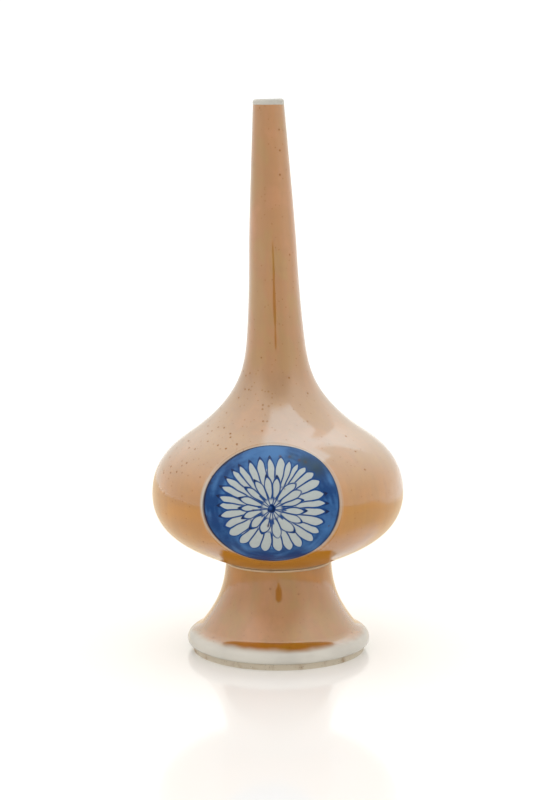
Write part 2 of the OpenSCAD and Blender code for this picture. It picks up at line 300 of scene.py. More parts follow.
def revolve(places, normals, columns):
    """Points, normals and faces of an outline turned about Z."""
    angles = np.linspace(0, 2 * math.pi, columns, endpoint=False)
    c, s = np.cos(angles), np.sin(angles)
    rows = len(places)
    points = np.stack([np.outer(places[:, 0], c), np.outer(places[:, 0], s),
                       np.repeat(places[:, 1:], columns, 1)], -1).reshape(-1, 3)
    outward = np.stack([np.outer(normals[:, 0], c), np.outer(normals[:, 0], s),
                        np.repeat(normals[:, 1:], columns, 1)], -1).reshape(-1, 3)
    faces = [
        (j * columns + i, j * columns + (i + 1) % columns,
         (j + 1) * columns + (i + 1) % columns, (j + 1) * columns + i)
        for j in range(rows - 1) for i in range(columns)]
    return points, outward, faces


def open_edges(faces):
    """Edges that only one face uses, in that face's direction."""
    used = {}
    for face in faces:
        for a, b in zip(face, face[1:] + face[:1]):
            used[(a, b)] = True
    return [(a, b) for a, b in used if (b, a) not in used]


def make_piece(name, points, faces, corner_normals, flat_from, material, attributes=None):
    """A mesh object with given normals on its smooth faces; faces from flat_from on are flat."""
    mesh = bpy.data.meshes.new(name)
    mesh.from_pydata([tuple(p) for p in points], [], faces)
    smooth = np.arange(len(faces)) < flat_from
    mesh.polygons.foreach_set("use_smooth", smooth)
    mesh.update()
    starts = np.zeros(len(mesh.loops), int)
    mesh.loops.foreach_get("vertex_index", starts)
    sides = np.array([len(f) for f in faces])
    keep = np.repeat(smooth, sides)
    given = np.where(keep[:, None], corner_normals[starts], 0.0)
    mesh.normals_split_custom_set(given.tolist())
    for key, values in (attributes or {}).items():
        layer = mesh.attributes.new(key, "FLOAT", "POINT")
        layer.data.foreach_set("value", np.asarray(values, np.float32))
    if mesh.validate():
        raise RuntimeError(f"{name} has faulty faces")
    mesh.materials.append(material)
    piece = bpy.data.objects.new(name, mesh)
    bpy.context.scene.collection.objects.link(piece)
    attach(piece, ROOT)
    return piece


def make_coat(name, points, normals, faces, depth, slot, material, attributes=None):
    """A closed skin of an even depth under the given outer surface."""
    count = len(points)
    inner = points - normals * depth
    back = [tuple(reversed([v + count for v in f])) for f in faces]
    rims = [(b, a, a + count, b + count) for a, b in open_edges(faces)]
    doubled = {k: np.concatenate([v, v]) for k, v in (attributes or {}).items()}
    return make_piece(name, np.vstack([points, inner]), faces + back + rims,
                      np.vstack([normals, -normals]), len(faces) * 2, material, doubled)


# Materials

class Graph:
    """Writes the nodes of one material."""

    def __init__(self, name):
        self.material = bpy.data.materials.new(name)
        self.material.use_nodes = True
        self.tree = self.material.node_tree
        self.tree.nodes.clear()
        self.output = self.tree.nodes.new("ShaderNodeOutputMaterial")
        self.shader = self.tree.nodes.new("ShaderNodeBsdfPrincipled")
        self.tree.links.new(self.shader.outputs["BSDF"], self.output.inputs["Surface"])
        self.place = self.node("ShaderNodeTexCoord").outputs["Object"]

    def node(self, kind, **settings):
        made = self.tree.nodes.new(kind)
        for key, value in settings.items():
            setattr(made, key, value)
        return made

    def put(self, socket, value):
        """Sets a socket to a number or a colour, or links it to an output."""
        if isinstance(value, bpy.types.NodeSocket):
            self.tree.links.new(value, socket)
        elif isinstance(value, (tuple, list)) or hasattr(value, "__len__"):
            value = tuple(value)
            socket.default_value = value if len(value) == len(socket.default_value) else value + (1.0,)
        else:
            socket.default_value = value

    def math(self, operation, *values, clamp=False):
        made = self.node("ShaderNodeMath", operation=operation, use_clamp=clamp)
        for socket, value in zip(made.inputs, values):
            self.put(socket, value)
        return made.outputs[0]

    def mix(self, factor, first, second, blend="MIX"):
        made = self.node("ShaderNodeMix", data_type="RGBA", blend_type=blend)
        self.put(made.inputs["Factor"], factor)
        self.put(made.inputs["A"], first)
        self.put(made.inputs["B"], second)
        return made.outputs["Result"]

    def step(self, value, low, high, from_value=0.0, to_value=1.0):
        """A smooth step of a value between low and high."""
        made = self.node("ShaderNodeMapRange", interpolation_type="SMOOTHSTEP")
        for key, number in (("Value", value), ("From Min", low), ("From Max", high),
                            ("To Min", from_value), ("To Max", to_value)):
            self.put(made.inputs[key], number)
        return made.outputs["Result"]

    def stretched(self, scale):
        """The place on the pot, scaled apart along X, Y and Z."""
        made = self.node("ShaderNodeMapping")
        self.put(made.inputs["Vector"], self.place)
        self.put(made.inputs["Scale"], scale)
        return made.outputs["Vector"]

    def noise(self, scale, detail=2.0, roughness=0.5, vector=None):
        made = self.node("ShaderNodeTexNoise")
        self.put(made.inputs["Vector"], vector or self.place)
        for key, number in (("Scale", scale), ("Detail", detail), ("Roughness", roughness)):
            self.put(made.inputs[key], number)
        return made.outputs["Fac"]

    def cells(self, scale, vector=None):
        """Distance to the nearest point of a scatter, and that point's own random value."""
        made = self.node("ShaderNodeTexVoronoi")
        self.put(made.inputs["Vector"], vector or self.place)
        self.put(made.inputs["Scale"], scale)
        return made.outputs["Distance"], made.outputs["Color"]

    def split(self, vector):
        made = self.node("ShaderNodeSeparateXYZ")
        self.put(made.inputs["Vector"], vector)
        return made.outputs["X"], made.outputs["Y"], made.outputs["Z"]

    def read(self, attribute):
        return self.node("ShaderNodeAttribute", attribute_name=attribute).outputs["Fac"]

    def bump(self, height, distance, strength=1.0):
        made = self.node("ShaderNodeBump")
        for key, value in (("Height", height), ("Distance", distance), ("Strength", strength)):
            self.put(made.inputs[key], value)
        return made.outputs["Normal"]

    def finish(self, **sockets):
        """Sets the shader's own sockets by name, with spaces for underscores."""
        for key, value in sockets.items():
            self.put(self.shader.inputs[key.replace("_", " ")], value)
        return self.material


def specks(graph, scale, size, share_kept):
    """Scattered dots: 1 in a dot, 0 elsewhere."""
    distance, chance = graph.cells(scale)
    red = graph.node("ShaderNodeSeparateColor")
    graph.put(red.inputs["Color"], chance)
    dot = graph.step(distance, size, size * 0.4)
    kept = graph.math("LESS_THAN", red.outputs["Red"], share_kept)
    return graph.math("MULTIPLY", dot, kept)


def glaze_waves(graph):
    """Height of the glaze: slow waves of throwing and a fine peel."""
    slow = graph.noise(38, 1.0, 0.4, graph.stretched((1, 1, 1.6)))
    peel = graph.noise(420, 1.0)
    return graph.math("ADD", slow, graph.math("MULTIPLY", peel, 0.02))


def brown_glaze(graph, colours):
    """Colour and gloss of the brown glaze: warmer on the belly, where the warmth is a painted reflection of warm
    floor light, thin on the shoulder, and under the bulb a painted reflection of the foot and its shaded floor, with
    the gloss dulled there.
    """
    x, y, z = graph.split(graph.place)
    belly = graph.math("MULTIPLY", graph.step(z, 0.034, 0.044), graph.step(z, 0.082, 0.066))
    shoulder = graph.math("MULTIPLY", graph.step(z, 0.064, 0.080), graph.step(z, 0.112, 0.096))
    clouds = graph.noise(75, 3.0, 0.6, graph.stretched((1, 1, 0.6)))
    runs = graph.noise(240, 3.0, 0.6, graph.stretched((1, 1, 0.06)))
    rings = graph.noise(260, 2.0, 0.5, graph.stretched((0.05, 0.05, 1)))
    # Painted reflection: the belly band is warmed towards amber for the warm floor light reflected in it
    warm = graph.mix(belly, colours.brown, colours.warm_reflection_and_rings)
    thin = graph.mix(shoulder, warm, colours.shoulder)
    clear = graph.math("MULTIPLY_ADD", graph.math("MAXIMUM", shoulder, belly), -0.6, 1.0)
    ochre = graph.math("MULTIPLY", graph.step(clouds, 0.50, 0.62, 0.0, 0.75), clear)
    blush = graph.math("MULTIPLY", graph.step(clouds, 0.49, 0.38, 0.0, 0.7), clear)
    pale = graph.mix(blush, graph.mix(ochre, thin, colours.ochre), colours.blush)
    flow = graph.mix(graph.step(runs, 0.35, 0.65, 0.0, 0.16), pale, tuple(c * 0.55 for c in colours.brown))
    body = graph.mix(graph.step(rings, 0.45, 0.75, 0.0, 0.10), flow, tuple(c * 0.6 for c in colours.warm_reflection_and_rings))
    left = graph.step(x, 0.006, -0.012)
    high = graph.math("MULTIPLY", graph.step(z, 0.056, 0.07), graph.step(z, 0.112, 0.1))
    many = graph.math("MULTIPLY", left, high, clamp=True)
    crowd = graph.math("MULTIPLY", specks(graph, 460, 0.26, 0.52), graph.math("MULTIPLY", many, 0.85))
    small = graph.math("MULTIPLY", specks(graph, 300, 0.17, 0.16), 0.8)
    tiny = graph.math("MULTIPLY", specks(graph, 800, 0.28, 0.14), 0.5)
    holes = graph.math("MAXIMUM", graph.math("MAXIMUM", crowd, small), tiny)
    # Painted reflection under the bulb: a dark amber crescent for the foot and its shaded floor reflected there,
    # with the gloss dulled under it
    crescent_edge_height = graph.math("MULTIPLY_ADD", clouds, 0.0016, z)
    aside = graph.math("ABSOLUTE", graph.math("ADD", x, 0.0008))
    pool = graph.math("MULTIPLY", graph.step(crescent_edge_height, 0.0456, 0.0448), graph.step(z, 0.0336, 0.0352))
    pool = graph.math("MULTIPLY", pool, graph.step(aside, 0.0204, 0.0184))
    body = graph.mix(pool, body, colours.pool)
    gloss = graph.math("MULTIPLY", graph.step(z, 0.0315, 0.0335, 0.8, 1.0), graph.math("SUBTRACT", 1.0, holes))
    dulled_under_painted_reflection = graph.math("MULTIPLY", pool, graph.step(aside, 0.010, 0.018, 0.86, 0.98))
    gloss = graph.math("MULTIPLY", gloss, graph.math("SUBTRACT", 1.0, dulled_under_painted_reflection))
    return graph.mix(holes, body, colours.pinhole), gloss


def make_brown(colours):
    """Brown glaze under a bright, slightly wavy gloss."""
    graph = Graph("coffee_brown_glaze")
    brown, gloss = brown_glaze(graph, colours)
    return graph.finish(
        Base_Color=graph.mix(graph.read("bare"), brown, colours.petal), Roughness=0.3, IOR=1.5,
        Specular_IOR_Level=graph.math("MULTIPLY", gloss, 0.5), Coat_Weight=gloss, Coat_IOR=1.8,
        Coat_Roughness=0.025, Normal=graph.bump(glaze_waves(graph), 0.0004),
        Coat_Normal=graph.bump(glaze_waves(graph), 0.0004))


def make_edge_glaze(name, colours, low, high, painted_shade_share=1.0):
    """Brown glaze that runs out into grey-white glaze between two heights; a share darkens the white, which at the
    lip is painted shade.
    """
    graph = Graph(name)
    x, y, z = graph.split(graph.place)
    wander = graph.math("MULTIPLY", graph.math("SUBTRACT", graph.noise(90, 2.0), 0.5), abs(high - low) * 1.2)
    brown = graph.step(graph.math("ADD", z, wander), low, high)
    coffee, gloss = brown_glaze(graph, colours)
    pale = tuple(c * painted_shade_share for c in colours.white)
    cloud = graph.mix(graph.step(graph.noise(60, 3.0), 0.35, 0.7), pale, tuple(c * 0.86 for c in pale))
    dots = graph.math("MULTIPLY", specks(graph, 380, 0.16, 0.08), 0.7)
    white = graph.mix(dots, cloud, colours.rust)
    return graph.finish(
        Base_Color=graph.mix(brown, white, coffee), Roughness=0.16, IOR=1.45,
        Coat_Weight=graph.math("MULTIPLY", brown, gloss), Coat_IOR=1.8, Coat_Roughness=0.025,
        Normal=graph.bump(glaze_waves(graph), 0.0004), Coat_Normal=graph.bump(glaze_waves(graph), 0.0004))


def make_painted(colours):
    """Cobalt painting under clear glaze, with the brown glaze creeping in at the edge."""
    graph = Graph("painted_panel_glaze")
    wash, line, rim, slate, brown, rust = (
        graph.read(k) for k in ("wash", "line", "rim", "slate", "brown", "rust"))
    grain = graph.noise(900, 3.0, 0.6)
    petal = graph.mix(graph.step(grain, 0.3, 0.8), colours.petal, tuple(c * 0.93 for c in colours.petal))
    brushed = graph.math("MULTIPLY", graph.math("SUBTRACT", graph.noise(260, 3.0, 0.6), 0.5), 0.5)
    uneven = graph.math("ADD", wash, graph.math("MULTIPLY", graph.math("SUBTRACT", grain, 0.5), 0.18))
    uneven = graph.math("ADD", uneven, brushed)
    blue = graph.mix(graph.step(uneven, 0.35, 1.0), colours.wash_pale, colours.wash_deep)
    ground = graph.mix(graph.step(wash, 0.0, 0.35), petal, blue)
    burnt = graph.mix(slate, ground, colours.slate)
    lined = graph.mix(graph.step(line, 0.0, 0.8), burnt, colours.line)
    tipped = graph.mix(graph.step(line, 0.8, 1.0), lined, colours.tip)
    rimmed = graph.mix(rim, tipped, colours.rim_line)
    rusted = graph.mix(rust, rimmed, colours.rust)
    coffee, gloss = brown_glaze(graph, colours)
    return graph.finish(
        Base_Color=graph.mix(brown, rusted, coffee), Roughness=0.12, IOR=1.5, Specular_IOR_Level=0.17,
        Coat_Weight=graph.math("MULTIPLY", graph.step(brown, 0.0, 0.15), gloss), Coat_IOR=1.8,
        Coat_Roughness=0.025, Normal=graph.bump(glaze_waves(graph), 0.0003),
        Coat_Normal=graph.bump(glaze_waves(graph), 0.0003))


def make_clay(colours):
    """Bare fired clay, gritty and stained by iron."""
    graph = Graph("worn_bare_clay")
    stain = graph.step(graph.noise(160, 4.0, 0.65), 0.48, 0.72)
    body = graph.mix(stain, colours.clay, tuple(c * k for c, k in zip(colours.clay, (0.62, 0.5, 0.4))))
    grit = specks(graph, 1500, 0.3, 0.2)
    return graph.finish(
        Base_Color=graph.mix(graph.math("MULTIPLY", grit, 0.6), body, colours.rust), Roughness=0.72,
        Normal=graph.bump(graph.noise(2600, 3.0, 0.6), 0.00004))


def make_slip(colours):
    """Pale slip under a thin glaze, with dark dirt caught in it."""
    graph = Graph("luting_slip")
    dirt = graph.step(graph.noise(240, 3.0, 0.6), 0.5, 0.7)
    return graph.finish(
        Base_Color=graph.mix(dirt, colours.slip, tuple(c * 0.7 for c in colours.slip)), Roughness=0.3,
        Coat_Weight=0.6, Normal=graph.bump(graph.noise(900, 2.0), 0.00003))


def make_lining(colours):
    """White glaze inside, with a few iron specks."""
    graph = Graph("white_lining_glaze")
    cloud = graph.mix(graph.step(graph.noise(80, 3.0), 0.35, 0.7), colours.white,
                      tuple(c * 0.85 for c in colours.white))
    dots = graph.math("MULTIPLY", specks(graph, 400, 0.18, 0.1), 0.8)
    return graph.finish(Base_Color=graph.mix(dots, cloud, colours.rust), Roughness=0.14, IOR=1.5,
                        Normal=graph.bump(glaze_waves(graph), 0.0003))


def material(name, maker, *inputs):
    """The named material, made the first time that it is asked for."""
    return bpy.data.materials.get(name) or maker(*inputs)


# Painting of the flower panels

# Outer petals from the right, anticlockwise:
# direction of the tip, direction of the root, reach, half width, and 1 for a dark point or 0 for a blunt end
OUTER_PETALS = [
    (3, 7, 19.8, 1.25, 1), (13, 18, 20.0, 1.75, 1), (27, 33, 19.4, 1.85, 0.3), (38, 43, 19.4, 1.7, 0.2),
    (48, 52, 18.9, 1.45, 0.2), (58, 57, 18.6, 1.1, 0.2), (69, 64, 18.4, 1.25, 0.3), (79.5, 76, 19.2, 1.65, 0.4),
    (94, 90, 19.4, 1.35, 0.9), (105, 107, 19.4, 1.5, 0.8), (118, 118.5, 19.6, 1.35, 1),
    (130, 131.5, 20.2, 1.35, 1), (139, 138, 20.5, 1.25, 1), (149, 149, 20.6, 1.25, 1), (159.5, 157, 20.4, 1.3, 1),
    (169, 171, 20.2, 1.4, 1), (179, 176, 19.5, 1.35, 1), (190, 187.5, 19.0, 1.35, 0.9),
    (202, 200, 18.2, 1.65, 0.6), (213, 211, 17.8, 1.9, 0), (228, 232, 17.2, 1.7, 0), (244, 243, 16.6, 2.1, 0),
    (259.5, 261, 16.7, 1.75, 0), (277, 278, 16.6, 1.75, 0), (290.5, 295, 17.1, 1.7, 0), (304, 306.5, 17.6, 1.7, 0),
    (319, 320.5, 18.6, 1.7, 0), (330.5, 330, 18.5, 1.5, 0), (343, 340, 18.9, 1.7, 0.4), (355, 353.5, 19.8, 1.4, 1),
]
# Inner petals in the same way
INNER_PETALS = [
    (14, 17, 11.4, 1.05, 0.7), (29, 33, 11.8, 1.5, 0.2), (45, 52, 12.1, 1.4, 0.3), (81.5, 74, 11.9, 1.3, 1),
    (100, 97, 12.2, 1.25, 1), (123, 118, 12.0, 1.2, 1), (143, 138, 12.2, 1.05, 0.8), (163, 161, 12.3, 1.2, 1),
    (180, 178, 11.7, 1.05, 1), (199, 192, 11.1, 1.15, 1), (223, 219, 10.7, 1.35, 1), (248, 249, 9.6, 1.6, 0.7),
    (280, 283, 10.7, 1.45, 0.1), (313, 306, 11.6, 1.7, 0.8), (335, 334, 11.6, 1.2, 0.7), (355, 353, 12.2, 1.15, 0.9),
]


def smooth(value, low, high):
    """A smooth step from 0 at low to 1 at high."""
    t = np.clip((value - low) / (high - low), 0, 1)
    return t * t * (3 - 2 * t)


def wave(angle, seed, count=5):
    """A slow random wave round the panel, within about 1 either way."""
    rng = np.random.default_rng(seed)
    total = np.zeros_like(angle)
    for turns in range(1, count + 1):
        total += np.cos(turns * angle + rng.uniform(0, 6.28)) * rng.uniform(0.5, 1) / math.sqrt(count)
    return total


def petal_shape(r, side, root, reach, half, blunt, tail):
    """How far each point is outside a petal's outline, in millimetres."""
    s = (r - root) / (reach - root)
    widest = 0.62
    rise = tail + (1 - tail) * np.sin(np.clip(s / widest, 0, 1) * math.pi / 2)
    past = np.clip((s - widest) / (1 - widest), 0, 1)
    fall = (1 - past ** (1.7 + 0.7 * blunt)) ** (0.9 - 0.4 * blunt)
    width = half * np.where(s < widest, rise, fall)
    return np.where(s > 1, np.hypot(side, r - reach), np.abs(side) - width)


def paint_petals(r, angle, petals, root, tail, line_w, seed):
    """White bodies, brushed outlines and whole cover of a ring of petals that touch each other."""
    rng = np.random.default_rng(seed)
    nearest = np.full_like(r, 9.0)
    second = np.full_like(r, 9.0)
    white = np.zeros_like(r)
    drawn = np.zeros_like(r)
    tone = np.zeros_like(r)
    for tip_deg, root_deg, reach, half, sharp in petals:
        s = np.clip((r - root) / (reach - root), 0, 1.1)
        axis = root_deg + (tip_deg - root_deg) * s ** 1.4
        side = np.radians((angle - axis + 180) % 360 - 180) * r
        side = side + 0.07 * np.sin(r * 1.3 + rng.uniform(0, 6.28))
        left, right = rng.uniform(0.75, 1.2, 2)
        line = line_w * np.where(side > 0, left, right)
        end = reach - 0.3 - 1.0 * sharp * rng.uniform(0.75, 1.25)
        outside = petal_shape(r, side, root - 1.2, reach, half + 0.27, 1 - sharp, tail)
        core = petal_shape(r, side, root, end, half + 0.27, 0.5 + 0.5 * (1 - sharp), tail) + line
        white = np.maximum(white, smooth(core, 0.13, -0.13))
        covers = smooth(outside, 0.13, -0.13)
        pooled = sharp * 0.3 * smooth(s, 0.78, 0.95) - (1 - sharp) * 0.35 * smooth(s, 0.80, 0.97)
        tone = np.where(covers > drawn, 0.75 + pooled, tone)
        drawn = np.maximum(drawn, covers)
        second = np.minimum(second, np.maximum(nearest, outside))
        nearest = np.minimum(nearest, outside)
    apart = smooth((second - nearest) / 2, line_w * 0.6 - 0.13, line_w * 0.6 + 0.13)
    here = smooth(r, root - 1.0, root + 0.6)
    body = white * apart * smooth(r, root - 0.2, root + 0.8)
    return body, drawn * (1 - body) * here * np.clip(tone, 0, 1), drawn * here


def paint_blots(u, v, blots):
    """Soft round blots: place across and up, radius and strength."""
    total = np.zeros_like(u)
    for x, y, radius, strength in blots:
        total += strength * np.exp(-((u - x) ** 2 + (v - y) ** 2) / radius ** 2)
    return total


# Deeper and paler places of the wash, in millimetres from the panel's centre
WASH_BLOTS = [
    (-22.0, 1.0, 3.2, 0.42), (-20.5, -7.0, 3.5, 0.22), (-17, -14, 4.0, 0.18), (-4, -20.5, 4.0, 0.30),
    (9, -20.0, 4.0, 0.25), (19.5, 4.8, 2.6, 0.3), (15.5, 13.5, 4.2, 0.45), (-18, 14, 4.0, 0.12),
    (0.5, 21.5, 5.0, -0.42), (-9, 20.5, 4.5, -0.25), (20.5, -7.5, 4.0, -0.16), (14, -16, 3.5, -0.12),
    (-23.3, -3.5, 2.0, -0.15), (22.0, 9.0, 2.2, -0.15),
]
SLATE_BLOTS = [(16.8, 13.4, 3.3, 0.85), (12.6, 16.4, 2.0, 0.8), (8.0, 18.6, 1.5, 0.5)]
RIM_SPOTS = [(-22.6, 7.6, 0.7, 0.6), (-23.6, -4.6, 0.8, 0.5), (-18.2, 15.0, 0.8, 0.4)]
RUST_SPOTS = [
    (3.2, 18.9, 0.55, 0.75), (7.0, 18.6, 0.6, 0.6), (10.7, 16.9, 0.6, 0.7), (13.0, 15.9, 0.6, 0.5),
    (-6.4, -0.9, 0.4, 0.5), (-1.2, -6.2, 0.5, 0.6), (4.6, 6.4, 0.35, 0.5), (20.0, -7.6, 0.35, 0.6),
]
FLOWER_CENTRE = (0.1, -0.45)
FLOWER_SPREAD = 1.03
# Radius of the dark line, at every 45 degrees from the right
RIM_RADII = [24.05, 24.75, 24.0, 24.2, 24.8, 23.4, 24.05, 23.2]
# How white the margin beyond that line is, in the same directions
MARGIN_WHITES = [0.42, 0.12, 0.12, 0.12, 0.80, 0.45, 0.25, 0.40]


def round_about(values, angle):
    """A value in each direction, through those at every 45 degrees."""
    place = (np.degrees(angle) % 360) / 45
    low = np.floor(place).astype(int) % 8
    ease = smooth(place - np.floor(place), 0, 1)
    values = np.array(values)
    return values[low] * (1 - ease) + values[(low + 1) % 8] * ease


def brown_edge(r, angle, seed):
    """How brown the glaze is beyond the dark line, from 0 to 1."""
    rim_r = round_about(RIM_RADII, angle)
    margin = rim_r + 0.40 + 0.75 * np.abs(np.cos(angle)) ** 2.5 + 0.2 * wave(angle, seed + 6, 8)
    white = round_about(MARGIN_WHITES, angle) * smooth(r, margin + 0.7, margin - 0.4)
    return (1 - white) * smooth(r - rim_r, 0.0, 0.35)


def paint_panel(u, v, seed):
    """Densities of the painting at places across and up from the panel's centre, in millimetres."""
    r, angle = np.hypot(u, v), np.arctan2(v, u)
    fu, fv = u - FLOWER_CENTRE[0], v - FLOWER_CENTRE[1]
    fr, fangle = np.hypot(fu, fv) / FLOWER_SPREAD, np.degrees(np.arctan2(fv, fu))
    outer, outer_ink, _ = paint_petals(fr, fangle, OUTER_PETALS, 8.0, 0.55, 0.44, seed)
    inner, inner_ink, over = paint_petals(fr, fangle, INNER_PETALS, 3.4, 0.34, 0.44, seed + 1)
    line = np.maximum(outer_ink * (1 - over), inner_ink)
    outer = outer * (1 - over)
    rays = heart_rays(fr, fangle, seed)
    lumpy = fr * (1 + 0.14 * wave(np.radians(fangle), seed + 10, 4))
    dot = smooth(lumpy, 1.7, 1.15) * (1 - 0.55 * np.exp(-(((fu + 0.45) ** 2 + (fv - 0.4) ** 2) / 0.35)))
    line = np.maximum(line, np.maximum(rays, dot))
    streaks = np.sin(r * 1.6 + 2.5 * wave(angle, seed + 2)) * wave(angle, seed + 3, 9)
    streaks += 0.5 * np.sin(r * 3.4 + 5.0 * wave(angle, seed + 8)) * wave(angle, seed + 9, 14)
    density = 0.72 + paint_blots(u, v, WASH_BLOTS) + 0.13 * streaks
    petals = np.maximum(outer, inner)
    ground = (1 - petals) * smooth(fr, 13.0, 15.5)
    rim_r = round_about(RIM_RADII, angle) + 0.12 * wave(angle, seed + 4, 9)
    within = smooth(r - rim_r, 0.15, -0.25)
    wash = ground * np.clip(density, 0.36, 1.0) * within
    heavy = 0.5 + 0.5 * np.cos(angle - math.radians(200))
    rim_w = 0.31 + 0.20 * heavy + 0.14 * wave(angle, seed + 5, 8)
    rim = smooth(np.abs(r - rim_r), np.clip(rim_w, 0.14, 0.6) + 0.18, np.clip(rim_w, 0.14, 0.6) - 0.12)
    rim *= np.clip(0.72 + 0.3 * heavy + 0.15 * wave(angle, seed + 7, 8), 0, 1)
    brown = brown_edge(r, angle, seed)
    rim = np.clip(rim + paint_blots(u, v, RIM_SPOTS), 0, 1)
    slate = np.clip(paint_blots(u, v, SLATE_BLOTS) * ground * within, 0, 1)
    rust = np.clip(paint_blots(u, v, RUST_SPOTS), 0, 1)
    return {"wash": wash, "line": line, "rim": rim * (1 - brown), "slate": slate, "brown": brown,
            "rust": rust * (1 - brown)}


def heart_rays(r, angle, seed):
    """Short brush strokes that run out from the dot in the flower's heart."""
    rng = np.random.default_rng(seed + 9)
    ink = np.zeros_like(r)
    count = 17
    for i in range(count):
        direction = 360 * i / count + rng.uniform(-7, 7)
        reach = rng.uniform(3.6, 6.6)
        side = np.radians((angle - direction + 180) % 360 - 180) * r
        width = 0.15 + 0.12 * np.clip(r / reach, 0, 1)
        ink = np.maximum(ink, smooth(np.abs(side), width + 0.12, width - 0.14) * smooth(reach - r, -0.25, 0.5))
    return ink * 0.72


# Panels on the bulb

class BulbSurface:
    """The glazed surface of the bulb, by height and direction, and the panels on it."""

    def __init__(self, scene):
        self.foot, self.bulb, self.panel = scene.sprinkler_foot, scene.sprinkler_bulb, scene.sprinkler_panel
        self.places, self.normals = chain(bulb_curves(self.foot, self.bulb), (400, 400, 200))
        self.centre_z = self.foot.height + self.bulb.low_rise + self.panel.rise

    def radius(self, z):
        return np.interp(z, self.places[:, 1], self.places[:, 0])

    def at(self, angle, z):
        """Points and normals at directions round the axis and heights, before the bulb leans."""
        r = self.radius(z)
        n_r = np.interp(z, self.places[:, 1], self.normals[:, 0])
        n_z = np.interp(z, self.places[:, 1], self.normals[:, 1])
        long = np.hypot(n_r, n_z)
        points = np.stack([r * np.cos(angle), r * np.sin(angle), z], -1)
        normals = np.stack([n_r / long * np.cos(angle), n_r / long * np.sin(angle), n_z / long], -1)
        return points, normals

    def compass(self, opening, direction, side):
        """Direction round the axis and height, at a compass opening from a panel's centre."""
        belly = self.bulb.belly_r
        low, high = np.zeros_like(opening), opening.copy()
        for _ in range(40):
            middle = (low + high) / 2
            x, z = middle * np.cos(direction), self.centre_z + middle * np.sin(direction)
            r = self.radius(z)
            y = np.sqrt(np.maximum(r * r - x * x, 0))
            chord = np.sqrt(x * x + (y - belly) ** 2 + (z - self.centre_z) ** 2)
            low, high = np.where(chord < opening, middle, low), np.where(chord < opening, high, middle)
        front = -math.pi / 2 - math.radians(self.panel.turn) + side * math.pi
        return front + np.arctan2(x, y), z

    def leaned(self, angle, z):
        points, normals = self.at(angle, z)
        return lean(points, normals, self.foot, self.bulb)


def disc_grid(cells):
    """A square grid pressed into a disc: radius share and direction of each vertex, and the faces."""
    a, b = np.meshgrid(np.linspace(-1, 1, cells + 1), np.linspace(-1, 1, cells + 1))
    a, b = a.ravel(), b.ravel()
    wide = np.abs(a) > np.abs(b)
    safe_a, safe_b = np.where(wide, a, 1), np.where(wide | (b == 0), 1, b)
    radius = np.where(wide, a, b)
    angle = np.where(wide, math.pi / 4 * b / safe_a, math.pi / 2 - math.pi / 4 * a / safe_b)
    angle = np.where(radius < 0, angle + math.pi, angle)
    n = cells + 1
    faces = [(j * n + i, j * n + i + 1, (j + 1) * n + i + 1, (j + 1) * n + i)
             for j in range(cells) for i in range(cells)]
    edge = ([i for i in range(cells)] + [j * n + cells for j in range(cells)]
            + [cells * n + i for i in range(cells, 0, -1)] + [j * n for j in range(cells, 0, -1)])
    return np.abs(radius), angle, faces, edge


def build_painted_panel(context, side, names):
    """A panel with its painting in fine detail outside and a coarse hidden face."""
    surface = BulbSurface(context.scene)
    panel, bulb = surface.panel, surface.bulb
    share_out, direction, faces, edge = disc_grid(panel.cells)
    around, z = surface.compass(share_out * panel.reach, direction, side)
    points, normals = surface.leaned(around, z)
    u = share_out * panel.reach / MM * np.cos(direction)
    v = share_out * panel.reach / MM * np.sin(direction)
    densities = paint_panel(u, v, 20 + side)
    back_share, back_direction, back_faces, back_edge = disc_grid(panel.back_cells)
    back_around, back_z = surface.compass(back_share * panel.reach, back_direction, side)
    back_points, back_normals = surface.leaned(back_around, back_z)
    count = len(points)
    back = [tuple(reversed([k + count for k in f])) for f in back_faces]
    ratio = panel.cells // panel.back_cells
    rims = []
    for i in range(len(back_edge)):
        following = (i + 1) % len(back_edge)
        outer = [edge[(i * ratio + k) % len(edge)] for k in range(ratio + 1)]
        rims.append(tuple(reversed(outer + [back_edge[following] + count, back_edge[i] + count])))
    empty = np.zeros(len(back_points))
    attributes = {k: np.concatenate([d, empty]) for k, d in densities.items()}
    colours = context.scene.sprinkler_colours
    piece = make_piece(
        names[0], np.vstack([points, back_points - back_normals * bulb.glaze_t]), faces + back + rims,
        np.vstack([normals, -back_normals]), len(faces) + len(back),
        material("painted_panel_glaze", make_painted, colours), attributes)
    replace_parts(piece, *names[1:])
    return piece


# Operators

class BuildStep(bpy.types.Operator):
    """Shared parts of the operators that build the pot."""

    bl_options = {"REGISTER", "UNDO"}

    def sizes(self, context):
        scene = context.scene
        return scene.sprinkler_foot, scene.sprinkler_bulb, scene.sprinkler_colours


class SPRINKLER_OT_foot(BuildStep):
    """Gives the imported clay foot, with its bare ring and hollow, a worn bare clay finish."""

    bl_idname = "sprinkler.foot"
    bl_label = "Clay foot"

    def execute(self, context):
        foot, bulb, colours = self.sizes(context)
        material("worn_bare_clay", make_clay, colours)
        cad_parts["foot"].data.materials.clear()
        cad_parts["foot"].data.materials.append(bpy.data.materials["worn_bare_clay"])
        return {"FINISHED"}


